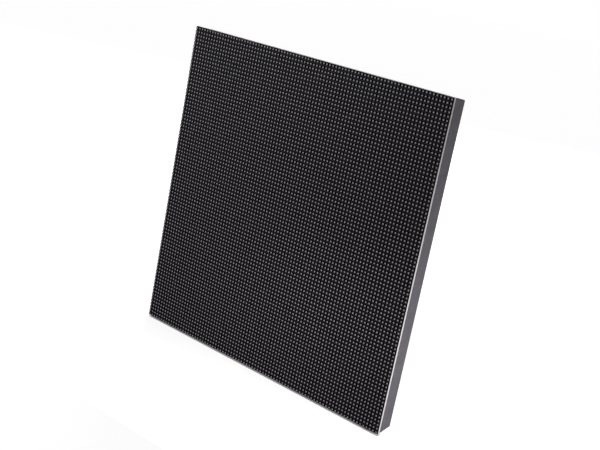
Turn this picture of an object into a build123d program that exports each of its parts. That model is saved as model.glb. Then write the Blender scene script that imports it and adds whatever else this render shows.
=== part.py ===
from build123d import *
import os

# A square indoor LED display module: 84 by 84 colour LEDs on a circuit board that is
# screwed to a moulded rear frame. The frame's back is the mounting plane, at Y = 0.
# The LEDs face -Y, +X is to the right as seen from the front, and +Z is up.
# Depths are measured forward from the mounting plane, so a depth d lies at Y = -d.
# Heights of what stands on the back of the board are measured from the board.

# LED matrix
led_count = 84
led_pitch = 2.976
led_body = 2.1
led_height = 0.9
lens_width = 1.3
lens_height = 0.1

# Circuit board
board_thickness = 1.6
board_edge_gap = 0.05

# Rear frame: a drafted moulding with nine open bays. Its rims and beams have an H section:
# two walls from the board to the mounting plane, with a web between them.
frame_depth = 15.2
frame_front_inset = 0.15
frame_rear_inset = 1.6
frame_corner_radius = 1.0
rear_edge_chamfer = 0.5
web_thickness = 2.5
outer_wall = 2.0
rim_width = 15.0
beam_width = 9.0
bay_wall = 1.6
bay_corner = 1.2
rib_width = 1.4
rib_step = 28.0
rib_height = 1.8

# Buttresses that stiffen the outer walls, as deep as a rib is wide
buttress_foot = 3.0
buttress_top = 0.8
buttress_setback = 1.5

# Screws that clamp the frame's web to nuts on the board
screw_head_radius = 2.5
screw_head_height = 1.8
screw_radius = 1.25
screw_length = 5.4
cross_width = 0.7
cross_span = 2.8
cross_depth = 1.0
shank_clearance = 0.15
nut_height = 3.5
nut_clearance = 0.1
thread_clearance = 0.05

# Hexagonal threaded inserts at the corners, for the module's own fixing
insert_radius = 3.4
insert_bore_radius = 2.0
insert_length = 8.0
insert_clearance = 0.05

# Locating pins pressed into the back of the frame
locating_pin_radius = 2.0
locating_pin_length = 3.0
locating_pin_chamfer = 0.5
locating_shank_radius = 1.5
locating_shank_length = 6.0

# Notches in the two upright beams, for the cables
cable_notch_width = 34.0
cable_notch_depth = 6.0
cable_notch_radius = 2.0

# Data sockets: two columns of pins in a keyed shroud
data_rows = 8
data_pitch = 2.54
data_pin = 0.64
data_pin_height = 8.0
shroud_length = 28.0
shroud_width = 8.9
shroud_height = 9.0
shroud_wall = 1.2
shroud_end_wall = 1.6
shroud_floor = 2.4
key_slot_width = 4.5
key_slot_depth = 5.5

# Power header: a row of pins on a base with a latch wall
power_count = 4
power_pitch = 3.96
power_pin = 1.14
power_pin_height = 9.6
power_width = 9.4
power_end = 2.0
power_base_height = 3.2
power_wall = 1.6
power_wall_height = 10.0
power_latch = 1.1
power_latch_height = 1.8

# Chips and small parts on the back of the board: length, width, height
driver_size = (8.65, 3.9, 1.5)
switch_size = (3.9, 9.9, 1.5)
buffer_size = (5.3, 7.2, 1.8)
memory_size = (4.9, 3.9, 1.5)
ceramic_size = (1.6, 0.8, 0.8)
array_size = (1.6, 3.2, 0.6)
chip_bevel = 0.4

# Where they lie, from the centre of their bay
driver_offset_x = 15.0
driver_step_z = 20.0
driver_middle_z = 25.0
ceramic_gap = 1.2
switch_offset_x = 27.5
buffer_offset_x = 14.0
buffer_step_z = 14.0
array_offset_x = 8.0
array_step_z = 6.0
array_count = 4
memory_offset_z = 15.0

# Bulk capacitors on both sides of the power header
can_radius = 3.15
can_height = 5.4
can_base = 6.6
can_base_height = 0.9
can_base_chamfer = 1.5
can_step_x = 42.0
can_step_z = 24.0
can_rows = 2

# Sizes that follow from the ones above
module_size = led_count * led_pitch
row_length = (led_count - 1) * led_pitch + led_body
board_size = module_size - 2 * board_edge_gap
frame_front = module_size - 2 * frame_front_inset
frame_rear = module_size - 2 * frame_rear_inset
web_front = frame_depth - nut_height
web_rear = web_front - web_thickness
rear_cavity = frame_rear - 2 * outer_wall
front_cavity = frame_front - 2 * outer_wall
bay_places = (-1, 0, 1)
bay_count = len(bay_places)
bay_size = (module_size - 2 * rim_width - (bay_count - 1) * beam_width) / bay_count
bay_step = bay_size + beam_width
beam_line = bay_step / 2
rim_block = frame_rear / 2 - outer_wall / 2 - (module_size / 2 - rim_width + bay_wall / 2)
rim_line = frame_rear / 2 - outer_wall / 2 - rim_block / 2
beam_block = beam_width - bay_wall / 2
nut_radius = beam_width / 2 - bay_wall - nut_clearance
power_length = (power_count - 1) * power_pitch + 2 * power_end

# Where the bays, the ribs and the screws are
bay_centres = [(x * bay_step, z * bay_step) for x in bay_places for z in bay_places]
rib_lines = [bay * bay_step + side * rib_step / 2 for bay in bay_places for side in (-1, 1)]
side_screws = [(-rim_line, 0), (rim_line, 0)]
beam_screws = [(x * beam_line, z * beam_line) for x in (-1, 1) for z in (-1, 1)]
screw_points = side_screws + beam_screws

# Buttresses: one at each rib on all four sides. Their outline runs outwards and to the back.
outward_ways = [((1, 0, 0), (0, 0, 1)), ((0, 0, 1), (-1, 0, 0)), ((-1, 0, 0), (0, 0, -1)), ((0, 0, -1), (1, 0, 0))]
buttress_planes = [
    Plane(origin=(0, 0, 0), x_dir=out, z_dir=along).offset(line) for out, along in outward_ways for line in rib_lines
]
wall_line = rear_cavity / 2
buttress_outline = [
    (wall_line + outer_wall / 2, -web_rear),
    (wall_line - buttress_foot, -web_rear),
    (wall_line - buttress_top, -buttress_setback),
    (wall_line + outer_wall / 2, -buttress_setback),
]

# Where the chips are
driver_points = []
for bay_x, bay_z in bay_centres:
    steps = (-driver_middle_z, driver_middle_z) if bay_z == 0 else (-driver_step_z, 0, driver_step_z)
    driver_points += [(bay_x + side * driver_offset_x, bay_z + step) for side in (-1, 1) for step in steps]
ceramic_rise = (driver_size[1] + ceramic_size[1]) / 2 + ceramic_gap
ceramic_points = [(x, z + ceramic_rise) for x, z in driver_points]
outer_bays = [(x, z) for x, z in bay_centres if z != 0]
switch_points = [(x + side * switch_offset_x, z) for x, z in outer_bays for side in (-1, 1)]
buffer_line = bay_step - buffer_offset_x
buffer_points = [(x * buffer_line, z * buffer_step_z / 2) for x in (-1, 1) for z in (-1, 1)]
array_line = bay_step - array_offset_x
array_rises = [(index - (array_count - 1) / 2) * array_step_z for index in range(array_count)]
array_points = [(side * array_line, rise) for side in (-1, 1) for rise in array_rises]


def front_plane(depth):
    """The plane at a depth, with its normal towards the LEDs."""
    return Plane.XZ.offset(depth)


def rear_plane(depth):
    """The plane at a depth, with its normal towards the back, for holes drilled from the back."""
    return Plane(origin=(0, -depth, 0), x_dir=(1, 0, 0), z_dir=(0, 1, 0))


def on_board(height):
    """The plane at a height above the back of the board."""
    return front_plane(frame_depth - height)


def block_group(size, points):
    """Rectangular bodies that stand on the back of the board."""
    length, width, height = size
    with BuildPart() as blocks:
        with BuildSketch(on_board(0)):
            with Locations(*points):
                Rectangle(length, width)
        extrude(amount=-height)
    return blocks


def chip_group(size, points):
    """Chip bodies, each with the bevel that marks its first pin along one long edge."""
    length, width, height = size
    long_way = Axis.X if width > length else Axis.Z
    with BuildPart() as chips:
        with BuildSketch(on_board(0)):
            with Locations(*points):
                Rectangle(length, width)
        extrude(amount=-height)
        tops = chips.faces().group_by(Axis.Y)[-1]
        chamfer([top.edges().sort_by(long_way)[0] for top in tops], length=chip_bevel)
    return chips


def pin_group(pin, height, centre_x, columns, rows, pitch):
    """Square pins that stand on the back of the board."""
    with BuildPart() as pins:
        with BuildSketch(on_board(0)):
            with Locations((centre_x, 0)):
                with GridLocations(pitch, pitch, columns, rows):
                    Rectangle(pin, pin)
        extrude(amount=-height)
    return pins


def data_shroud(centre_x):
    """Keyed shroud of a data socket, open to the back, with a square hole for each pin."""
    with BuildPart() as shroud:
        with BuildSketch(on_board(0)):
            with Locations((centre_x, 0)):
                Rectangle(shroud_width, shroud_length)
        extrude(amount=-shroud_height)
        with BuildSketch(on_board(shroud_floor)):
            with Locations((centre_x, 0)):
                Rectangle(shroud_width - 2 * shroud_wall, shroud_length - 2 * shroud_end_wall)
        extrude(amount=shroud_floor - shroud_height, mode=Mode.SUBTRACT)
        with BuildSketch(on_board(shroud_height)):
            with Locations((centre_x - (shroud_width - shroud_wall) / 2, 0)):
                Rectangle(shroud_wall, key_slot_width)
        extrude(amount=key_slot_depth, mode=Mode.SUBTRACT)
        with BuildSketch(on_board(0)):
            with Locations((centre_x, 0)):
                with GridLocations(data_pitch, data_pitch, 2, data_rows):
                    Rectangle(data_pin, data_pin)
        extrude(amount=-shroud_floor, mode=Mode.SUBTRACT)
    return shroud


os.makedirs("parts", exist_ok=True)

# Each row of packages is one bar here, and the windows of its LEDs are one strip on the bar.
with BuildPart() as led_rows:
    with BuildSketch(front_plane(frame_depth + board_thickness)):
        with GridLocations(led_pitch, led_pitch, 1, led_count):
            Rectangle(row_length, led_body)
    extrude(amount=led_height - lens_height)
led_rows.part.label = "led_rows"
export_step(led_rows.part, "parts/led_rows.step")

with BuildPart() as led_windows:
    with BuildSketch(front_plane(frame_depth + board_thickness + led_height - lens_height)):
        with GridLocations(led_pitch, led_pitch, 1, led_count):
            Rectangle(row_length - led_body + lens_width, lens_width)
    extrude(amount=lens_height)
led_windows.part.label = "led_windows"
export_step(led_windows.part, "parts/led_windows.step")

with BuildPart() as led_board:
    with BuildSketch(front_plane(frame_depth)):
        Rectangle(board_size, board_size)
    extrude(amount=board_thickness)
led_board.part.label = "led_board"
export_step(led_board.part, "parts/led_board.step")

# Rear frame, one moulding
with BuildPart() as rear_frame:
    # Outside, drafted so that it narrows towards the back
    with BuildSketch(front_plane(0)):
        RectangleRounded(frame_rear, frame_rear, frame_corner_radius)
    with BuildSketch(front_plane(frame_depth)):
        RectangleRounded(frame_front, frame_front, frame_corner_radius)
    loft(ruled=True)
    chamfer(rear_frame.faces().sort_by(Axis.Y)[-1].edges(), length=rear_edge_chamfer)
    # Hollow from the back and from the front, down to the web
    with BuildSketch(front_plane(0)):
        Rectangle(rear_cavity, rear_cavity)
    extrude(amount=web_rear, mode=Mode.SUBTRACT)
    with BuildSketch(front_plane(web_front)):
        Rectangle(front_cavity, front_cavity)
    extrude(amount=nut_height, mode=Mode.SUBTRACT)
    # Walls round the bays
    with BuildSketch(front_plane(0)):
        with GridLocations(bay_step, bay_step, bay_count, bay_count):
            Rectangle(bay_size + 2 * bay_wall, bay_size + 2 * bay_wall)
    extrude(amount=frame_depth)
    # Low ribs across the web
    with BuildSketch(front_plane(web_rear - rib_height)):
        for line in rib_lines:
            with Locations((line, 0)):
                Rectangle(rib_width, frame_rear)
            with Locations((0, line)):
                Rectangle(frame_rear, rib_width)
    extrude(amount=rib_height)
    # Buttresses inside the outer walls
    with BuildSketch(*buttress_planes):
        Polygon(*buttress_outline, align=None)
    extrude(amount=rib_width / 2, both=True)
    # Blocks that reach the mounting plane, for the inserts and the locating pins
    with BuildSketch(front_plane(0)):
        with GridLocations(2 * rim_line, 2 * rim_line, 2, 2):
            Rectangle(rim_block, rim_block)
        with GridLocations(0, 2 * rim_line, 1, 2):
            Rectangle(beam_block, rim_block)
    extrude(amount=web_rear)
    # The bays, open from front to back
    with BuildSketch(front_plane(0)) as bays:
        with GridLocations(bay_step, bay_step, bay_count, bay_count):
            Rectangle(bay_size, bay_size)
        chamfer(bays.vertices(), length=bay_corner)
    extrude(amount=frame_depth, mode=Mode.SUBTRACT)
    # Screw holes through the web
    with Locations(rear_plane(web_rear)):
        with Locations(*screw_points):
            Hole(radius=screw_radius + shank_clearance)
    # Holes for the inserts and the locating pins
    with BuildSketch(front_plane(0)):
        with GridLocations(2 * rim_line, 2 * rim_line, 2, 2):
            RegularPolygon(insert_radius + insert_clearance, side_count=6)
    extrude(amount=insert_length, mode=Mode.SUBTRACT)
    with Locations(rear_plane(0)):
        with GridLocations(0, 2 * rim_line, 1, 2):
            Hole(radius=locating_shank_radius, depth=locating_shank_length)
    # Notches through the walls of the upright beams
    with BuildSketch(Plane.YZ.offset(-beam_line - beam_width)):
        RectangleRounded(2 * cable_notch_depth, cable_notch_width, cable_notch_radius)
    extrude(amount=2 * (beam_line + beam_width), mode=Mode.SUBTRACT)
rear_frame.part.label = "rear_frame"
export_step(rear_frame.part, "parts/rear_frame.step")

# Locating pins, at the middle of the top and bottom rims
with BuildPart() as locating_pins:
    with BuildSketch(front_plane(0)):
        with GridLocations(0, 2 * rim_line, 1, 2):
            Circle(locating_shank_radius)
    extrude(amount=locating_shank_length)
    with BuildSketch(front_plane(0)):
        with GridLocations(0, 2 * rim_line, 1, 2):
            Circle(locating_pin_radius)
    extrude(amount=-locating_pin_length)
    chamfer(locating_pins.faces().group_by(Axis.Y)[-1].edges(), length=locating_pin_chamfer)
locating_pins.part.label = "locating_pins"
export_step(locating_pins.part, "parts/locating_pins.step")

# Brass inserts, flush with the mounting plane
with BuildPart() as mounting_inserts:
    with BuildSketch(front_plane(0)):
        with GridLocations(2 * rim_line, 2 * rim_line, 2, 2):
            RegularPolygon(insert_radius, side_count=6)
            Circle(insert_bore_radius, mode=Mode.SUBTRACT)
    extrude(amount=insert_length)
mounting_inserts.part.label = "mounting_inserts"
export_step(mounting_inserts.part, "parts/mounting_inserts.step")

# Hexagonal nuts soldered to the board, which carry the frame's web
with BuildPart() as board_nuts:
    with BuildSketch(on_board(0)):
        with Locations(*screw_points):
            RegularPolygon(nut_radius, side_count=6)
            Circle(screw_radius + thread_clearance, mode=Mode.SUBTRACT)
    extrude(amount=-nut_height)
board_nuts.part.label = "board_nuts"
export_step(board_nuts.part, "parts/board_nuts.step")

# Cross-head screws on the frame's web
with BuildPart() as frame_screws:
    with BuildSketch(front_plane(web_rear)):
        with Locations(*screw_points):
            Circle(screw_head_radius)
    extrude(amount=-screw_head_height)
    with BuildSketch(front_plane(web_rear)):
        with Locations(*screw_points):
            Circle(screw_radius)
    extrude(amount=screw_length)
    with BuildSketch(front_plane(web_rear - screw_head_height)):
        with Locations(*screw_points):
            Rectangle(cross_span, cross_width)
            Rectangle(cross_width, cross_span)
    extrude(amount=cross_depth, mode=Mode.SUBTRACT)
frame_screws.part.label = "frame_screws"
export_step(frame_screws.part, "parts/frame_screws.step")

# Data in on the left and data out on the right, as seen from the front
data_input_shroud = data_shroud(-bay_step)
data_input_shroud.part.label = "data_input_shroud"
export_step(data_input_shroud.part, "parts/data_input_shroud.step")

data_output_shroud = data_shroud(bay_step)
data_output_shroud.part.label = "data_output_shroud"
export_step(data_output_shroud.part, "parts/data_output_shroud.step")

data_input_pins = pin_group(data_pin, data_pin_height, -bay_step, 2, data_rows, data_pitch)
data_input_pins.part.label = "data_input_pins"
export_step(data_input_pins.part, "parts/data_input_pins.step")

data_output_pins = pin_group(data_pin, data_pin_height, bay_step, 2, data_rows, data_pitch)
data_output_pins.part.label = "data_output_pins"
export_step(data_output_pins.part, "parts/data_output_pins.step")

# Power header at the middle of the board
with BuildPart() as power_header:
    with BuildSketch(on_board(0)):
        Rectangle(power_length, power_width)
    extrude(amount=-power_base_height)
    with BuildSketch(on_board(power_base_height)):
        with Locations((0, (power_width - power_wall) / 2)):
            Rectangle(power_length, power_wall)
    extrude(amount=power_base_height - power_wall_height)
    with BuildSketch(on_board(power_wall_height)):
        with Locations((0, power_width / 2 - power_wall - power_latch / 2)):
            Rectangle(power_length / 2, power_latch)
    extrude(amount=power_latch_height)
    with BuildSketch(on_board(0)):
        with GridLocations(power_pitch, power_pitch, power_count, 1):
            Rectangle(power_pin, power_pin)
    extrude(amount=-power_base_height, mode=Mode.SUBTRACT)
power_header.part.label = "power_header"
export_step(power_header.part, "parts/power_header.step")

power_pins = pin_group(power_pin, power_pin_height, 0, power_count, 1, power_pitch)
power_pins.part.label = "power_pins"
export_step(power_pins.part, "parts/power_pins.step")

# Bulk capacitors, each a can on a moulded base
with BuildPart() as capacitor_bases:
    with BuildSketch(on_board(0)):
        with GridLocations(can_step_x, can_step_z, 2, can_rows):
            Rectangle(can_base, can_base)
    extrude(amount=-can_base_height)
    corners = capacitor_bases.edges().filter_by(Axis.Y).group_by(Axis.Z)
    chamfer([edge for row in corners[1::2] for edge in row], length=can_base_chamfer)
capacitor_bases.part.label = "capacitor_bases"
export_step(capacitor_bases.part, "parts/capacitor_bases.step")

with BuildPart() as capacitor_cans:
    with BuildSketch(on_board(can_base_height)):
        with GridLocations(can_step_x, can_step_z, 2, can_rows):
            Circle(can_radius)
    extrude(amount=-can_height)
capacitor_cans.part.label = "capacitor_cans"
export_step(capacitor_cans.part, "parts/capacitor_cans.step")

# Chips
driver_chips = chip_group(driver_size, driver_points)
driver_chips.part.label = "driver_chips"
export_step(driver_chips.part, "parts/driver_chips.step")

row_switch_chips = chip_group(switch_size, switch_points)
row_switch_chips.part.label = "row_switch_chips"
export_step(row_switch_chips.part, "parts/row_switch_chips.step")

buffer_chips = chip_group(buffer_size, buffer_points)
buffer_chips.part.label = "buffer_chips"
export_step(buffer_chips.part, "parts/buffer_chips.step")

memory_chip = chip_group(memory_size, [(0, memory_offset_z)])
memory_chip.part.label = "memory_chip"
export_step(memory_chip.part, "parts/memory_chip.step")

# Small parts soldered beside the chips
ceramic_capacitors = block_group(ceramic_size, ceramic_points)
ceramic_capacitors.part.label = "ceramic_capacitors"
export_step(ceramic_capacitors.part, "parts/ceramic_capacitors.step")

resistor_arrays = block_group(array_size, array_points)
resistor_arrays.part.label = "resistor_arrays"
export_step(resistor_arrays.part, "parts/resistor_arrays.step")
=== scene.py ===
import math
import bmesh
import bpy
import numpy as np
from mathutils import Matrix, Vector


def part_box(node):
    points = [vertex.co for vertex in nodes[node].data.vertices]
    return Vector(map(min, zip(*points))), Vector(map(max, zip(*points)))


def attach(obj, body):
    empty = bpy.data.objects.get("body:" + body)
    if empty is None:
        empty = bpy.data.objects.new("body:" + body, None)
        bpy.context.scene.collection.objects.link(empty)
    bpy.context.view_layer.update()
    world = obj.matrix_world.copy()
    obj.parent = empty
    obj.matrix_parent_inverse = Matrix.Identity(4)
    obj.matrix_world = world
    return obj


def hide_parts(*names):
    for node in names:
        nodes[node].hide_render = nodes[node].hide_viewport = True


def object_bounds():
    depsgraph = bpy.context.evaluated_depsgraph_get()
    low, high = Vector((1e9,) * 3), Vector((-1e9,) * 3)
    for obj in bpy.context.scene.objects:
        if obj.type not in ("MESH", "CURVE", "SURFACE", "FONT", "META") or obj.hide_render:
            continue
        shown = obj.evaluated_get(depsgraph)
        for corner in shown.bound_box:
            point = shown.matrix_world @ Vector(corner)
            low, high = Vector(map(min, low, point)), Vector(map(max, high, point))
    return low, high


# Looks of a square LED display module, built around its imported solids.
# The LEDs face -Y, +X is to the right as seen from the front, +Z is up.
# Sizes are in metres, except where a comment says millimetres.
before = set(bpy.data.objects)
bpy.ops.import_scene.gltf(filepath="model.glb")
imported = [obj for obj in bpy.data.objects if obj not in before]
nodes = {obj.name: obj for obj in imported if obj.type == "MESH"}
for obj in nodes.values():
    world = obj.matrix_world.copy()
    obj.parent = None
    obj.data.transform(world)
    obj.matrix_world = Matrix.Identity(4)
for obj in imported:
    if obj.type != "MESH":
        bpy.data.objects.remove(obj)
cad_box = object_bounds()
BODY = "root"
MM = 0.001

# Sizes shared with the solids
LED_COUNT = 84
LED_PITCH = 2.976 * MM
LED_BODY = 2.1 * MM
LED_RIM_HEIGHT = 0.86 * MM
LED_WINDOW_RADIUS = 0.68 * MM
LED_CUP_DEPTH = 0.25 * MM
LED_CUP_SIDES = 8
LED_DOME = 0.04 * MM
LED_BANDS = 4
FRAME_DEPTH = 15.2 * MM
BOARD_THICKNESS = 1.6 * MM
BOARD_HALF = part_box("led_board")[1].x
BOARD_FRONT = -(FRAME_DEPTH + BOARD_THICKNESS)

# What stands on the back of the board, in millimetres: places from the board's middle
BAY_STEP = 76.328
BAYS = [(x * BAY_STEP, z * BAY_STEP) for x in (-1, 0, 1) for z in (-1, 0, 1)]
DRIVERS = [
    (x + side * 15.0, z + step)
    for x, z in BAYS
    for side in (-1, 1)
    for step in ((-25.0, 25.0) if z == 0 else (-20.0, 0.0, 20.0))
]
SWITCHES = [(x + side * 27.5, z) for x, z in BAYS if z != 0 for side in (-1, 1)]
BUFFERS = [(side * (BAY_STEP - 14.0), step) for side in (-1, 1) for step in (-7.0, 7.0)]
MEMORY = [(0.0, 15.0)]
CERAMICS = [(x, z + 3.55) for x, z in DRIVERS]
ARRAYS = [(side * (BAY_STEP - 8.0), step) for side in (-1, 1) for step in (-9.0, -3.0, 3.0, 9.0)]
CANS = [(x, z) for x in (-21.0, 21.0) for z in (-12.0, 12.0)]
INSERT_LINE = 116.592

# Ways across the board, as seen from the front: right, left, up and down
ACROSS = ((1, 0), (-1, 0))
UPRIGHT = ((0, 1), (0, -1))

# Leads, in millimetres: the chips, half the body's width, the ways out, leads a side, pitch, reach and width
DRIVER_LEADS = 12
DRIVER_LEAD_PITCH = 0.635
LEADED = (
    (DRIVERS, 1.95, UPRIGHT, DRIVER_LEADS, DRIVER_LEAD_PITCH, 1.05, 0.26),
    (SWITCHES, 1.95, ACROSS, 8, 1.27, 1.05, 0.42),
    (BUFFERS, 2.65, ACROSS, 10, 0.65, 1.25, 0.26),
    (MEMORY, 1.95, UPRIGHT, 4, 1.27, 1.05, 0.42),
)
LEAD_THICKNESS = 0.15
LEAD_LEVEL = 0.75
LEAD_ROOT = 0.05
LEAD_SEAT = 0.03
PAD_BORDER = 0.07

# Tracks and vias, in millimetres
TRACK_START = 3.3
TRACK_WIDTH = 0.2
TRACK_HEIGHT = 0.03
TRACK_LENGTHS = (0.9, 1.5, 2.1, 2.7)
CERAMIC_SPACE = 1.5
VIA_RADIUS = 0.3
VIA_HOLE = 0.14
VIA_SIDES = 8

# Painted lines, in millimetres: packages, half the gap, half the length, and if they lie above and below
PAINTED = (
    (DRIVERS, 4.75, 1.7, False),
    (SWITCHES, 5.35, 1.7, True),
    (BUFFERS, 4.0, 2.3, True),
    (MEMORY, 2.9, 1.7, False),
)
PAINT_WIDTH = 0.2
PAINT_HEIGHT = 0.025
PAINT_DOT = 0.3
PAINT_DOT_GAP = 0.9
PAINT_DOT_SIDES = 12

# Painted frames, in millimetres: their middles, and half their width and height
PAINTED_FRAMES = [(x, z, 3.9, 3.9) for x, z in CANS]
PAINTED_FRAMES += [(side * BAY_STEP, 0.0, 5.2, 14.8) for side in (-1, 1)]
PAINTED_FRAMES += [(0.0, 0.0, 8.7, 5.4)]

# Chip capacitors and resistor arrays, in millimetres: half the widths of the ends and of the solder
CERAMIC_HALF = 0.4
CERAMIC_HEIGHT = 0.8
ARRAY_END_HALF = 0.2
ARRAY_SOLDER_HALF = 0.22
ARRAY_ENDS = 4
ARRAY_PITCH = 0.8

# Pins, in millimetres: the node, its place, columns, rows, pitch, width, height, taper, finish and slot
PINS = (
    ("data_input_pins", -BAY_STEP, 2, 8, 2.54, 0.64, 8.0, 0.5, "gold_flash", "pin_gold"),
    ("data_output_pins", BAY_STEP, 2, 8, 2.54, 0.64, 8.0, 0.5, "gold_flash", "pin_gold"),
    ("power_pins", 0.0, 4, 1, 3.96, 1.14, 9.6, 0.8, "tinned", "pin_tin"),
)

# Capacitor cans, in millimetres: the section from the foot to the top, as radius and height
CAN_SIDES = 48
CAN_SECTION = [
    (0, 0.9), (2.85, 0.9), (3.1, 1.05), (3.15, 1.3), (3.15, 1.55), (3.02, 1.68), (2.97, 1.8), (3.02, 1.92),
    (3.15, 2.05), (3.15, 5.85), (3.11, 6.08), (3.0, 6.22), (2.84, 6.29), (2.7, 6.3), (2.6, 6.26), (2.5, 6.2),
    (0, 6.2),
]

# The dark mark on a can's top, in millimetres and degrees
MARK_RADIUS = 2.45
MARK_START = 35
MARK_SWEEP = 110
MARK_POINTS = 17
MARK_LEVELS = (6.19, 6.215)

# The tabs of a can, in millimetres: half the width of a tab and of its solder
TAB_HALF = 0.45
TAB_SOLDER_HALF = 0.62

# Threads of the mounting inserts, in millimetres
THREAD_PITCH = 0.7
THREAD_START = 0.5
THREAD_FLANK = 0.3
THREAD_BORE = 2.0
THREAD_CREST = 1.72
THREAD_SIDES = 24
THREAD_TURNS = 10

# Rounded edges of CAD nodes, as they are shown, and the least angle of an edge, in radians
WELD_REACH = 0.0005 * MM
SHARP_ANGLE = 0.6
ROUND_SEGMENTS = 2
ROUNDED = (
    (("driver_chips", "row_switch_chips", "buffer_chips", "memory_chip"), 0.06 * MM),
    (("data_input_shroud", "data_output_shroud", "power_header", "capacitor_bases"), 0.12 * MM),
    (("frame_screws", "locating_pins", "mounting_inserts", "board_nuts"), 0.12 * MM),
    (("rear_frame",), 0.2 * MM),
)

# Noise: the values a spread runs between, gloss patches as a share of colour patches, and grain detail
NOISE_LOW = 0.3
NOISE_HIGH = 0.7
GLOSS_SHARE = 0.6
GRAIN_DETAIL = 3.0

# Finishes: two colours, two roughnesses, patch, grain and depth in millimetres, metal and specular level
FINISHES = {
    "led_black": (
        (0.0046, 0.0036, 0.0052), (0.0075, 0.0059, 0.0085), (0.6, 0.8), 0.8, 0.12, 0.008, 0.0, 0.015,
    ),
    "led_resin": ((0.15, 0.139, 0.154), (0.2, 0.186, 0.206), (0.3, 0.45), 0.5, 0.1, 0.003, 0.0, 0.3),
    "frame_plastic": ((0.082, 0.077, 0.089), (0.093, 0.087, 0.101), (0.45, 0.62), 8, 0.25, 0.02, 0.0, 0.12),
    "nickel": ((0.5, 0.5, 0.5), (0.62, 0.62, 0.62), (0.25, 0.42), 1.5, 0.2, 0.004, 1.0, 0.5),
    "turned_brass": ((0.55, 0.36, 0.13), (0.72, 0.52, 0.24), (0.28, 0.42), 2, 0.2, 0.005, 1.0, 0.5),
    "ground_steel": ((0.46, 0.46, 0.47), (0.54, 0.54, 0.55), (0.2, 0.32), 1.5, 0.15, 0.003, 1.0, 0.5),
    "tin": ((0.58, 0.57, 0.54), (0.7, 0.69, 0.66), (0.3, 0.45), 1.5, 0.2, 0.004, 1.0, 0.5),
    "black_nylon": ((0.012, 0.012, 0.013), (0.02, 0.02, 0.021), (0.35, 0.5), 4, 0.3, 0.008, 0.0, 0.5),
    "ivory_nylon": ((0.66, 0.61, 0.48), (0.75, 0.71, 0.58), (0.35, 0.5), 4, 0.3, 0.008, 0.0, 0.5),
    "gold_flash": ((0.72, 0.5, 0.17), (0.85, 0.65, 0.28), (0.2, 0.32), 1, 0.1, 0.002, 1.0, 0.5),
    "tinned": ((0.6, 0.59, 0.57), (0.72, 0.71, 0.69), (0.22, 0.35), 1, 0.1, 0.002, 1.0, 0.5),
    "solder": ((0.5, 0.5, 0.49), (0.66, 0.66, 0.65), (0.25, 0.45), 0.6, 0.15, 0.01, 1.0, 0.5),
    "chip_compound": ((0.014, 0.014, 0.015), (0.024, 0.024, 0.026), (0.5, 0.65), 1, 0.08, 0.006, 0.0, 0.5),
    "aluminium": ((0.62, 0.62, 0.63), (0.74, 0.74, 0.75), (0.28, 0.4), 2, 0.15, 0.003, 1.0, 0.5),
    "tan_ceramic": ((0.3, 0.19, 0.1), (0.38, 0.25, 0.14), (0.4, 0.55), 0.6, 0.1, 0.004, 0.0, 0.5),
    "glazed_ceramic": ((0.01, 0.01, 0.011), (0.018, 0.018, 0.02), (0.25, 0.4), 0.6, 0.1, 0.003, 0.0, 0.5),
    "board_paint": ((0.62, 0.62, 0.6), (0.72, 0.72, 0.7), (0.6, 0.75), 1, 0.12, 0.004, 0.0, 0.5),
    "track_mask": ((0.008, 0.0085, 0.009), (0.012, 0.0125, 0.013), (0.3, 0.42), 1, 0.2, 0.004, 0.0, 0.3),
}

# The CAD nodes that keep their own mesh, and their finishes
NODE_FINISHES = {
    "rear_frame": "frame_plastic",
    "frame_screws": "nickel",
    "mounting_inserts": "turned_brass",
    "locating_pins": "ground_steel",
    "board_nuts": "tin",
    "data_input_shroud": "black_nylon",
    "data_output_shroud": "black_nylon",
    "power_header": "ivory_nylon",
    "driver_chips": "chip_compound",
    "row_switch_chips": "chip_compound",
    "buffer_chips": "chip_compound",
    "memory_chip": "chip_compound",
    "capacitor_bases": "black_nylon",
    "resistor_arrays": "glazed_ceramic",
}

# The board's two surfaces: the mask on its faces, and the laminate at its sawn edge
MASK_DARK = (0.0048, 0.0038, 0.0056)
MASK_LIGHT = (0.0082, 0.0065, 0.0094)
MASK_PATCH = 3 * MM
MASK_GRAIN = 0.3 * MM
MASK_GRAIN_DEPTH = 0.01 * MM
MASK_ROUGHNESS = 0.5
MASK_SPECULAR = 0.08
LAMINATE_DARK = (0.59, 0.58, 0.565)
LAMINATE_LIGHT = (0.71, 0.7, 0.685)
LAMINATE_LAYER = 0.12 * MM
LAMINATE_ROUGHNESS = 0.8
EDGE_START = 0.02 * MM
EDGE_END = 0.01 * MM

# The photograph's view
LENS = 65.0
SENSOR = 36.0
CLIP_START = 0.01
CLIP_END = 100.0
CAMERA_PLACE = (0.50258, -0.64606, 0.20288)
CAMERA_RIGHT = (0.74734, 0.63694, 0.1892)
CAMERA_UP = (-0.30194, 0.0719, 0.95061)
CAMERA_BACK = (0.59188, -0.76756, 0.24605)

# Soft lamps: name, place, target, width, height and watts
LAMPS = (
    ("front", (-0.65, -0.88, 0.15), (0, 0, 0), 0.5, 0.5, 4.9),
    ("low", (0.02, -0.17, -0.09), (0.02, 0, -0.1), 0.22, 0.06, 0.14),
    ("side", (0.285, 0.0, -0.06), (0.12, 0, -0.06), 0.12, 0.12, 0.27),
    ("rear", (-0.6, 1.2, 0.7), (0, 0, 0), 1.0, 1.0, 9.0),
)
SURROUND_LEVEL = 0.2

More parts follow.
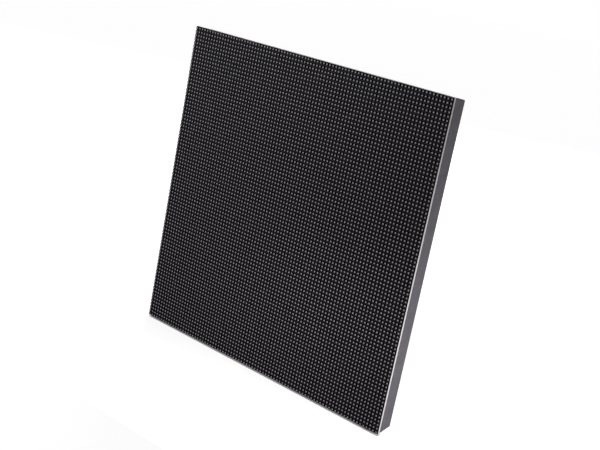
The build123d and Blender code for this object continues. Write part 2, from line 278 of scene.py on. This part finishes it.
# The floor: its drop below the object, half its width, its surface, and its glow near and far
FLOOR_DROP = 1.2 * MM
FLOOR_HALF = 8.0
FLOOR_DARK = (0.78, 0.78, 0.78)
FLOOR_LIGHT = (0.8, 0.8, 0.8)
FLOOR_PATCH = 0.4
FLOOR_ROUGHNESS = 0.9
FLOOR_SPECULAR = 0.1
NEAR_GLOW = 0.7
FAR_GLOW = 0.8
NEAR_DISTANCE = 0.9
FAR_DISTANCE = 1.8

# The painted contact shade under the object, from ambient occlusion: how far it reaches, and the share of
# the glow left in it and beside it
CONTACT_SHADE = 1.7 * MM
CONTACT_DARK = 0.75
CONTACT_CLEAR = 0.95


# Node trees


def new_material(name):
    """A node material with its shader, and the object's own coordinates."""
    material = bpy.data.materials.new(name)
    material.use_nodes = True
    tree = material.node_tree
    shader = tree.nodes["Principled BSDF"]
    place = tree.nodes.new("ShaderNodeTexCoord").outputs["Object"]
    return material, tree, shader, place


def noise(tree, place, size, detail=2.0):
    """Noise with features of about this size, in metres."""
    node = tree.nodes.new("ShaderNodeTexNoise")
    node.inputs["Scale"].default_value = 1.0 / size
    node.inputs["Detail"].default_value = detail
    tree.links.new(place, node.inputs["Vector"])
    return node.outputs["Fac"]


def spread(tree, value, low, high, start=NOISE_LOW, end=NOISE_HIGH):
    """Maps a value from start..end to low..high."""
    node = tree.nodes.new("ShaderNodeMapRange")
    node.inputs["From Min"].default_value = start
    node.inputs["From Max"].default_value = end
    node.inputs["To Min"].default_value = low
    node.inputs["To Max"].default_value = high
    tree.links.new(value, node.inputs["Value"])
    return node.outputs["Result"]


def shades(tree, value, dark, light):
    """A colour between two, by a noise value."""
    node = tree.nodes.new("ShaderNodeValToRGB")
    node.color_ramp.elements[0].position = NOISE_LOW
    node.color_ramp.elements[0].color = (*dark, 1)
    node.color_ramp.elements[1].position = NOISE_HIGH
    node.color_ramp.elements[1].color = (*light, 1)
    tree.links.new(value, node.inputs["Fac"])
    return node.outputs["Color"]


def combined(tree, operation, first, second):
    """One value from two, by this math operation."""
    node = tree.nodes.new("ShaderNodeMath")
    node.operation = operation
    tree.links.new(first, node.inputs[0])
    tree.links.new(second, node.inputs[1])
    return node.outputs[0]


def relief(tree, shader, height, depth):
    """Bump of a given depth, in metres."""
    node = tree.nodes.new("ShaderNodeBump")
    node.inputs["Distance"].default_value = depth
    tree.links.new(height, node.inputs["Height"])
    tree.links.new(node.outputs["Normal"], shader.inputs["Normal"])


# Finishes


def finish_of(name, dark, light, rough, patch, grain, depth, metal, specular):
    """A surface with colour patches, uneven gloss and a fine grain."""
    material, tree, shader, place = new_material(name)
    patches = noise(tree, place, patch * MM)
    tree.links.new(shades(tree, patches, dark, light), shader.inputs["Base Color"])
    gloss = spread(tree, noise(tree, place, patch * MM * GLOSS_SHARE), rough[0], rough[1])
    tree.links.new(gloss, shader.inputs["Roughness"])
    relief(tree, shader, noise(tree, place, grain * MM, GRAIN_DETAIL), depth * MM)
    shader.inputs["Metallic"].default_value = metal
    shader.inputs["Specular IOR Level"].default_value = specular
    return material


def distance_from_middle(tree, place):
    """The larger of the distances from the middle along X and along Z."""
    split = tree.nodes.new("ShaderNodeSeparateXYZ")
    tree.links.new(place, split.inputs["Vector"])
    distances = []
    for axis in "XZ":
        size = tree.nodes.new("ShaderNodeMath")
        size.operation = "ABSOLUTE"
        tree.links.new(split.outputs[axis], size.inputs[0])
        distances.append(size.outputs[0])
    return combined(tree, "MAXIMUM", *distances)


def board_finish():
    """Matt black solder mask, with the pale laminate bare at the sawn edge."""
    material, tree, shader, place = new_material("board_mask")
    mask = shades(tree, noise(tree, place, MASK_PATCH), MASK_DARK, MASK_LIGHT)
    layers = noise(tree, place, LAMINATE_LAYER, 1.0)
    laminate = shades(tree, layers, LAMINATE_DARK, LAMINATE_LIGHT)
    reach = distance_from_middle(tree, place)
    edge = spread(tree, reach, 0.0, 1.0, BOARD_HALF - EDGE_START, BOARD_HALF - EDGE_END)
    mix = tree.nodes.new("ShaderNodeMix")
    mix.data_type = "RGBA"
    tree.links.new(edge, mix.inputs["Factor"])
    tree.links.new(mask, mix.inputs["A"])
    tree.links.new(laminate, mix.inputs["B"])
    tree.links.new(mix.outputs["Result"], shader.inputs["Base Color"])
    gloss = spread(tree, edge, MASK_ROUGHNESS, LAMINATE_ROUGHNESS, 0.0, 1.0)
    tree.links.new(gloss, shader.inputs["Roughness"])
    shader.inputs["Specular IOR Level"].default_value = MASK_SPECULAR
    relief(tree, shader, noise(tree, place, MASK_GRAIN), MASK_GRAIN_DEPTH)
    return material


def dress(node, material):
    """Puts a material on a CAD node, in each of its slots."""
    mesh = nodes[node].data
    if not mesh.materials:
        mesh.materials.append(material)
    for index in range(len(mesh.materials)):
        mesh.materials[index] = material


def soften(names, width):
    """Rounds the edges of CAD nodes as they are shown."""
    for name in names:
        weld = nodes[name].modifiers.new("weld", "WELD")
        weld.merge_threshold = WELD_REACH
        bevel = nodes[name].modifiers.new("bevel", "BEVEL")
        bevel.width = width
        bevel.segments = ROUND_SEGMENTS
        bevel.limit_method = "ANGLE"
        bevel.angle_limit = SHARP_ANGLE


# Meshes


def add_mesh(name, corners, faces, material, slot):
    """A piece from its corners and faces, on the one body of the part."""
    mesh = bpy.data.meshes.new(name)
    mesh.from_pydata(corners, [], faces)
    mesh.validate()
    mesh.materials.append(material)
    piece = bpy.data.objects.new(name, mesh)
    bpy.context.scene.collection.objects.link(piece)
    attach(piece, BODY)
    return piece


def repeated(template, places):
    """Corners and faces of a template's copies at the given places."""
    corners, faces = template
    corners = np.array(corners, float)
    places = np.array(places, float)
    all_corners = (places[:, None, :] + corners[None, :, :]).reshape(-1, 3).tolist()
    all_faces = [
        [index + number * len(corners) for index in face]
        for number in range(len(places))
        for face in faces
    ]
    return all_corners, all_faces


# LEDs


def ring(radius, depth):
    """Points round a cup that faces the front."""
    turn = 2 * math.pi / LED_CUP_SIDES
    turns = [turn * (k + 0.5) for k in range(LED_CUP_SIDES)]
    return [(radius * math.cos(angle), depth, radius * math.sin(angle)) for angle in turns]


def square(half, depth):
    """Corners of a square that faces the front, from the upper right, anticlockwise."""
    return [(half, depth, half), (-half, depth, half), (-half, depth, -half), (half, depth, -half)]


def band(first, second, count):
    """Faces between two rings of corners, by the rings' first corners."""
    return [[first + (k + 1) % count, first + k, second + k, second + (k + 1) % count] for k in range(count)]


def led_body():
    """One package: a square block with a round cup in its top."""
    half = LED_BODY / 2
    low = square(half, 0)
    top = square(half, -LED_RIM_HEIGHT)
    rim = ring(LED_WINDOW_RADIUS, -LED_RIM_HEIGHT)
    floor = ring(LED_WINDOW_RADIUS, LED_CUP_DEPTH - LED_RIM_HEIGHT)
    corners = low + top + rim + floor
    top_start = len(low)
    rim_start = top_start + len(top)
    floor_start = rim_start + len(rim)
    faces = [[0, 1, 2, 3]]
    faces += band(0, top_start, 4)
    # The rim's points run from the right, anticlockwise, two for each corner of the square
    for k in range(4):
        a = rim_start + 2 * k
        b = rim_start + 2 * k + 1
        c = rim_start + (2 * k + 2) % LED_CUP_SIDES
        faces.append([top_start + k, a, b])
        faces.append([top_start + k, b, c, top_start + (k + 1) % 4])
    faces += band(rim_start, floor_start, LED_CUP_SIDES)
    faces.append([floor_start + k for k in reversed(range(LED_CUP_SIDES))])
    return corners, faces


def led_window():
    """The resin in one package's cup, slightly domed."""
    low = ring(LED_WINDOW_RADIUS, LED_CUP_DEPTH - LED_RIM_HEIGHT)
    rim = ring(LED_WINDOW_RADIUS, -LED_RIM_HEIGHT)
    corners = low + rim + [(0, -LED_RIM_HEIGHT - LED_DOME, 0)]
    sides = LED_CUP_SIDES
    faces = [list(range(sides))]
    faces += band(0, sides, sides)
    faces += [[sides + (k + 1) % sides, sides + k, 2 * sides] for k in range(sides)]
    return corners, faces


def add_leds(body_material, window_material):
    """All packages, in bands of rows."""
    rows = LED_COUNT // LED_BANDS
    line = [(index - (LED_COUNT - 1) / 2) * LED_PITCH for index in range(LED_COUNT)]
    bodies = []
    windows = []
    for number in range(1, LED_BANDS + 1):
        band_rows = line[(number - 1) * rows:number * rows]
        places = [(x, BOARD_FRONT, z) for z in band_rows for x in line]
        body = repeated(led_body(), places)
        window = repeated(led_window(), places)
        bodies.append(add_mesh(f"led_bodies_{number}", *body, body_material, "led_black"))
        windows.append(add_mesh(f"led_resin_{number}", *window, window_material, "led_resin"))
    for piece in bodies:
        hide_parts("led_rows")
    for piece in windows:
        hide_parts("led_windows")


# Details on the back of the board. Outlines run outwards and upwards, in millimetres.


def steps(count, pitch):
    """Places of evenly spaced copies, from their middle."""
    return [(index - (count - 1) / 2) * pitch for index in range(count)]


def closed(count):
    """Faces of a straight body between two outlines with this many corners."""
    return [list(range(count)), list(range(2 * count - 1, count - 1, -1))] + band(0, count, count)


def prism(outline, half):
    """A straight bar with this cross-section."""
    corners = [(out, rise, side * half) for side in (-1, 1) for out, rise in outline]
    return corners, closed(len(outline))


def plate(outline, low, high):
    """A flat plate on the board, from its outline across and upright."""
    corners = [(x, level, z) for level in (low, high) for x, z in outline]
    return corners, closed(len(outline))


def block(half_x, half_z, low, high):
    """A rectangular block on the board."""
    outline = [(half_x, half_z), (half_x, -half_z), (-half_x, -half_z), (-half_x, half_z)]
    return plate(outline, low, high)


def turned(profile, sides):
    """A body turned about a line that stands on the board, from points at a radius and a height."""
    inner = profile[1:-1]
    corners = [(0, profile[0][1], 0), (0, profile[-1][1], 0)]
    for radius, height in inner:
        for k in range(sides):
            turn = 2 * math.pi * k / sides
            corners.append((radius * math.cos(turn), height, radius * math.sin(turn)))
    last = 2 + (len(inner) - 1) * sides
    faces = []
    for k in range(sides):
        after = (k + 1) % sides
        faces.append([0, 2 + k, 2 + after])
        faces.append([1, last + after, last + k])
        for level in range(len(inner) - 1):
            first = 2 + level * sides
            faces.append([first + k, first + sides + k, first + sides + after, first + after])
    return corners, faces


def placed(template, spots, way=(1, 0)):
    """Copies of a template at spots on the back of the board, turned so that it runs this way."""
    corners, faces = template
    turned_corners = [
        ((out * way[0] - along * way[1]) * MM, rise * MM, (out * way[1] + along * way[0]) * MM)
        for out, rise, along in corners
    ]
    return repeated((turned_corners, faces), [(x * MM, -FRAME_DEPTH, z * MM) for x, z in spots])


def joined(groups):
    """Several groups of corners and faces as one."""
    all_corners = []
    all_faces = []
    for corners, faces in groups:
        start = len(all_corners)
        all_corners += corners
        all_faces += [[start + index for index in face] for face in faces]
    return all_corners, all_faces


def add_detail(name, groups, material, slot, smooth=False):
    """One piece from several groups, with its faces turned outwards."""
    piece = add_mesh(name, *joined(groups), material, slot)
    shape = bmesh.new()
    shape.from_mesh(piece.data)
    bmesh.ops.recalc_face_normals(shape, faces=shape.faces)
    shape.to_mesh(piece.data)
    shape.free()
    if smooth:
        piece.data.shade_smooth()
        piece.data.set_sharp_from_angle(angle=SHARP_ANGLE)
    return piece


def beside(places, half, way, count, pitch):
    """Spots along one side of each package."""
    return [
        (x + way[0] * half - way[1] * step, z + way[1] * half + way[0] * step)
        for x, z in places
        for step in steps(count, pitch)
    ]


def lead_outline(reach):
    """A lead from the side of a body: out, down, and out again along the board."""
    top = LEAD_LEVEL + LEAD_THICKNESS / 2
    low = LEAD_LEVEL - LEAD_THICKNESS / 2
    foot = LEAD_THICKNESS + LEAD_SEAT
    upper_side = [(-LEAD_ROOT, top), (0.3, top), (0.5, foot), (reach, foot)]
    lower_side = [(reach, LEAD_SEAT), (0.42, LEAD_SEAT), (0.2, low), (-LEAD_ROOT, low)]
    return upper_side + lower_side


def pad_outline(reach):
    """Solder under a lead's foot and in front of it."""
    return [(0.3, 0), (reach + 0.4, 0), (reach + 0.36, 0.04), (reach, 0.13), (0.3, 0.05)]


def add_leads(lead_material, solder_material):
    """Bent leads of the chips, each on its pad with solder at its foot."""
    leads = []
    pads = []
    for places, half, ways, count, pitch, reach, width in LEADED:
        lead = prism(lead_outline(reach), width / 2)
        pad = prism(pad_outline(reach), width / 2 + PAD_BORDER)
        for way in ways:
            spots = beside(places, half, way, count, pitch)
            leads.append(placed(lead, spots, way))
            pads.append(placed(pad, spots, way))
    add_detail("chip_leads", leads, lead_material, "pin_tin")
    add_detail("chip_solder", pads, solder_material, "pin_tin")


def add_tracks(track_material, via_material):
    """Copper tracks under the mask, from the driver chips to their vias."""
    tracks = []
    vias = []
    rim = [(0, 0), (VIA_RADIUS, 0), (VIA_RADIUS, 0.03), (VIA_HOLE, 0.05), (0.1, 0.01), (0, 0.01)]
    via = turned(rim, VIA_SIDES)
    for kind, length in enumerate(TRACK_LENGTHS):
        track = prism([(0, 0), (length, 0), (length, TRACK_HEIGHT), (0, TRACK_HEIGHT)], TRACK_WIDTH / 2)
        # Above a chip, the tracks leave room for its capacitor
        for way in UPRIGHT:
            spots = [
                (x + step, z + way[1] * TRACK_START)
                for x, z in DRIVERS
                for index, step in enumerate(steps(DRIVER_LEADS, DRIVER_LEAD_PITCH))
                if index % len(TRACK_LENGTHS) == kind and (way[1] < 0 or abs(step) > CERAMIC_SPACE)
            ]
            tracks.append(placed(track, spots, way))
            vias.append(placed(via, [(x, z + way[1] * length) for x, z in spots]))
    add_detail("board_tracks", tracks, track_material, "board")
    add_detail("board_vias", vias, via_material, "pin_tin")


def moved(places, shift):
    """Places shifted across and upright."""
    return [(x + shift[0], z + shift[1]) for x, z in places]


def add_paint(material):
    """Plain painted lines on the board beside the packages, and a dot at the first lead."""
    paint = []
    rim = [(0, 0), (PAINT_DOT, 0), (PAINT_DOT, PAINT_HEIGHT), (0, PAINT_HEIGHT)]
    dot = turned(rim, PAINT_DOT_SIDES)
    half_width = PAINT_WIDTH / 2
    for places, half_gap, half_length, above in PAINTED:
        size = (half_length, half_width) if above else (half_width, half_length)
        bar = block(*size, 0, PAINT_HEIGHT)
        for side in (-1, 1):
            shift = (0, side * half_gap) if above else (side * half_gap, 0)
            paint.append(placed(bar, moved(places, shift)))
        dot_line = -half_length - PAINT_DOT_GAP
        corner = (dot_line, half_gap) if above else (-half_gap, dot_line)
        paint.append(placed(dot, moved(places, corner)))
    for x, z, half_x, half_z in PAINTED_FRAMES:
        across = block(half_x + half_width, half_width, 0, PAINT_HEIGHT)
        upright = block(half_width, half_z - half_width, 0, PAINT_HEIGHT)
        paint.append(placed(across, [(x, z - half_z), (x, z + half_z)]))
        paint.append(placed(upright, [(x - half_x, z), (x + half_x, z)]))
    add_detail("board_paint", paint, material, "board")


def add_ceramics(body_material, end_material, solder_material):
    """Chip capacitors with their metal ends, the ends of the resistor arrays, and solder at both."""
    half = CERAMIC_HALF
    body = block(0.52, 0.375, 0.02, 0.78)
    end = plate([(0.32, half), (0.8, half), (0.8, -half), (0.32, -half)], 0, CERAMIC_HEIGHT)
    end_groups = [placed(end, CERAMICS, way) for way in ACROSS]
    bodies = add_detail("capacitor_bodies", [placed(body, CERAMICS)], body_material, "ceramic_tan")
    ends = add_detail("capacitor_ends", end_groups, end_material, "pin_tin")
    for piece in (bodies, ends):
        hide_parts("ceramic_capacitors")
    fillet = prism([(0.78, 0), (1.15, 0), (0.95, 0.12), (0.8, 0.5), (0.78, 0.5)], half)
    wrap = prism([(0.5, 0), (0.83, 0), (0.83, 0.63), (0.5, 0.63)], ARRAY_END_HALF)
    low_outline = [(0.82, 0), (1.1, 0), (0.95, 0.1), (0.83, 0.4), (0.82, 0.4)]
    small_fillet = prism(low_outline, ARRAY_SOLDER_HALF)
    wraps = []
    fillets = []
    for way in ACROSS:
        fillets.append(placed(fillet, CERAMICS, way))
        spots = beside(ARRAYS, 0.0, way, ARRAY_ENDS, ARRAY_PITCH)
        wraps.append(placed(wrap, spots, way))
        fillets.append(placed(small_fillet, spots, way))
    add_detail("array_ends", wraps, end_material, "pin_tin")
    add_detail("small_solder", fillets, solder_material, "pin_tin")


def tapered_pin(width, height, taper):
    """A square pin with a tapered end."""
    half = width / 2
    levels = ((half, 0), (half, height - taper), (half / 2, height))
    quarters = ((1, 1), (-1, 1), (-1, -1), (1, -1))
    corners = [(x * reach, level, z * reach) for reach, level in levels for x, z in quarters]
    faces = [[0, 1, 2, 3], [11, 10, 9, 8]]
    for first in (0, 4):
        for k in range(4):
            after = (k + 1) % 4
            faces.append([first + k, first + after, first + 4 + after, first + 4 + k])
    return corners, faces


def add_pins(materials):
    """The pins of the sockets and of the power header."""
    for name, middle, columns, rows, pitch, width, height, taper, finish, slot in PINS:
        spots = [(middle + x, z) for x in steps(columns, pitch) for z in steps(rows, pitch)]
        group = placed(tapered_pin(width, height, taper), spots)
        pins = add_detail(name + "_tapered", [group], materials[finish], slot)
        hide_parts(name)


def add_cans(can_material, mark_material, tab_material):
    """Capacitor cans with a groove and a rounded rim, the dark mark of the negative side, and their tabs."""
    can = placed(turned(CAN_SECTION, CAN_SIDES), CANS)
    cans = add_detail("capacitor_cans_drawn", [can], can_material, "can_aluminium", True)
    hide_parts("capacitor_cans")
    turns = [math.radians(MARK_START + MARK_SWEEP * k / (MARK_POINTS - 1)) for k in range(MARK_POINTS)]
    sector = [(MARK_RADIUS * math.cos(turn), MARK_RADIUS * math.sin(turn)) for turn in reversed(turns)]
    marks = [placed(plate(sector, *MARK_LEVELS), CANS)]
    add_detail("capacitor_marks", marks, mark_material, "can_base_black")
    tab = prism([(3.1, 0.02), (4.1, 0.02), (4.1, 0.2), (3.1, 0.2)], TAB_HALF)
    heap_outline = [(3.3, 0), (4.5, 0), (4.4, 0.06), (4.12, 0.24), (3.5, 0.12), (3.3, 0.08)]
    heap = prism(heap_outline, TAB_SOLDER_HALF)
    tabs = [placed(tab, CANS, way) for way in UPRIGHT]
    heaps = [placed(heap, CANS, way) for way in UPRIGHT]
    add_detail("capacitor_tabs", tabs, tab_material, "pin_tin")
    add_detail("capacitor_solder", heaps, tab_material, "pin_tin")


def add_threads(material):
    """The thread in each mounting insert, as one ridge that winds down its bore."""
    count = THREAD_SIDES * THREAD_TURNS
    ridge = ((THREAD_BORE, -THREAD_FLANK), (THREAD_CREST, 0.0), (THREAD_BORE, THREAD_FLANK))
    corners = []
    for k in range(count + 1):
        turn = 2 * math.pi * k / THREAD_SIDES
        level = -THREAD_START - THREAD_PITCH * k / THREAD_SIDES
        for radius, shift in ridge:
            x = radius * math.cos(turn) * MM
            z = radius * math.sin(turn) * MM
            corners.append((x, (level + shift) * MM, z))
    faces = [[0, 1, 2], [3 * count + 2, 3 * count + 1, 3 * count]]
    for k in range(count):
        for a in range(3):
            b = (a + 1) % 3
            faces.append([3 * k + a, 3 * k + 3 + a, 3 * k + 3 + b, 3 * k + b])
    spots = [(x * INSERT_LINE * MM, 0, z * INSERT_LINE * MM) for x in (-1, 1) for z in (-1, 1)]
    add_detail("insert_threads", [repeated((corners, faces), spots)], material, "insert_brass")


# Camera, lights and floor


def add_camera():
    """The photograph's viewpoint."""
    data = bpy.data.cameras.new("camera")
    data.lens = LENS
    data.sensor_width = SENSOR
    data.clip_start = CLIP_START
    data.clip_end = CLIP_END
    camera = bpy.data.objects.new("camera", data)
    axes = Matrix((CAMERA_RIGHT, CAMERA_UP, CAMERA_BACK)).transposed().to_4x4()
    camera.matrix_world = Matrix.Translation(CAMERA_PLACE) @ axes
    bpy.context.scene.collection.objects.link(camera)
    bpy.context.scene.camera = camera


def add_lamp(name, place, target, width, height, power):
    """A flat soft lamp that faces a point."""
    data = bpy.data.lights.new(name, "AREA")
    data.shape = "RECTANGLE"
    data.size = width
    data.size_y = height
    data.energy = power
    lamp = bpy.data.objects.new(name, data)
    lamp.location = place
    lamp.rotation_mode = "QUATERNION"
    lamp.rotation_quaternion = (Vector(target) - Vector(place)).to_track_quat("-Z", "Y")
    lamp.visible_camera = False
    bpy.context.scene.collection.objects.link(lamp)


def seen_directly(tree):
    """1 for camera, glossy and transmission rays, else 0."""
    path = tree.nodes.new("ShaderNodeLightPath").outputs
    seen = combined(tree, "MAXIMUM", path["Is Camera Ray"], path["Is Glossy Ray"])
    return combined(tree, "MAXIMUM", seen, path["Is Transmission Ray"])


def add_world():
    """An even white surround: plain light on the object, and white where it is seen."""
    world = bpy.data.worlds.new("surround")
    bpy.context.scene.world = world
    world.use_nodes = True
    tree = world.node_tree
    background = tree.nodes["Background"]
    background.inputs["Color"].default_value = (1, 1, 1, 1)
    strength = spread(tree, seen_directly(tree), SURROUND_LEVEL, 1.0, 0.0, 1.0)
    tree.links.new(strength, background.inputs["Strength"])


def floor_glow(tree, place):
    """Glow where the floor is seen: more where the lamps reach less, and less beside the object, as painted
    contact shade.
    """
    length = tree.nodes.new("ShaderNodeVectorMath")
    length.operation = "LENGTH"
    tree.links.new(place, length.inputs[0])
    glow = spread(tree, length.outputs["Value"], NEAR_GLOW, FAR_GLOW, NEAR_DISTANCE, FAR_DISTANCE)
    # Painted contact shade: ambient occlusion darkens the glow under and beside the object
    contact = tree.nodes.new("ShaderNodeAmbientOcclusion")
    contact.inputs["Distance"].default_value = CONTACT_SHADE
    clear = spread(tree, contact.outputs["AO"], 0.0, 1.0, CONTACT_DARK, CONTACT_CLEAR)
    glow = combined(tree, "MULTIPLY", glow, clear)
    return combined(tree, "MULTIPLY", glow, seen_directly(tree))


def add_floor():
    """A plain pale floor that keeps the object's shadow, with a painted contact shade, and is near white
    where it is seen.
    """
    height = cad_box[0].z - FLOOR_DROP
    half = FLOOR_HALF
    mesh = bpy.data.meshes.new("floor")
    corners = [(-half, -half, height), (half, -half, height), (half, half, height), (-half, half, height)]
    mesh.from_pydata(corners, [], [[0, 1, 2, 3]])
    floor = bpy.data.objects.new("floor", mesh)
    bpy.context.scene.collection.objects.link(floor)
    material, tree, shader, place = new_material("pale_floor")
    tone = shades(tree, noise(tree, place, FLOOR_PATCH), FLOOR_DARK, FLOOR_LIGHT)
    tree.links.new(tone, shader.inputs["Base Color"])
    shader.inputs["Roughness"].default_value = FLOOR_ROUGHNESS
    shader.inputs["Specular IOR Level"].default_value = FLOOR_SPECULAR
    shader.inputs["Emission Color"].default_value = (1, 1, 1, 1)
    tree.links.new(floor_glow(tree, place), shader.inputs["Emission Strength"])
    mesh.materials.append(material)


# The module
finishes = {name: finish_of(name, *values) for name, values in FINISHES.items()}
add_leds(finishes["led_black"], finishes["led_resin"])
dress("led_board", board_finish())
for node_name, finish_name in NODE_FINISHES.items():
    dress(node_name, finishes[finish_name])
add_leads(finishes["tinned"], finishes["solder"])
add_tracks(finishes["track_mask"], finishes["tinned"])
add_paint(finishes["board_paint"])
add_ceramics(finishes["tan_ceramic"], finishes["tinned"], finishes["solder"])
add_pins(finishes)
add_cans(finishes["aluminium"], finishes["black_nylon"], finishes["tinned"])
add_threads(finishes["turned_brass"])
for node_names, edge_width in ROUNDED:
    soften(node_names, edge_width)

# The studio
add_camera()
bpy.context.scene.view_settings.view_transform = "Standard"
add_world()
for lamp_values in LAMPS:
    add_lamp(*lamp_values)
add_floor()
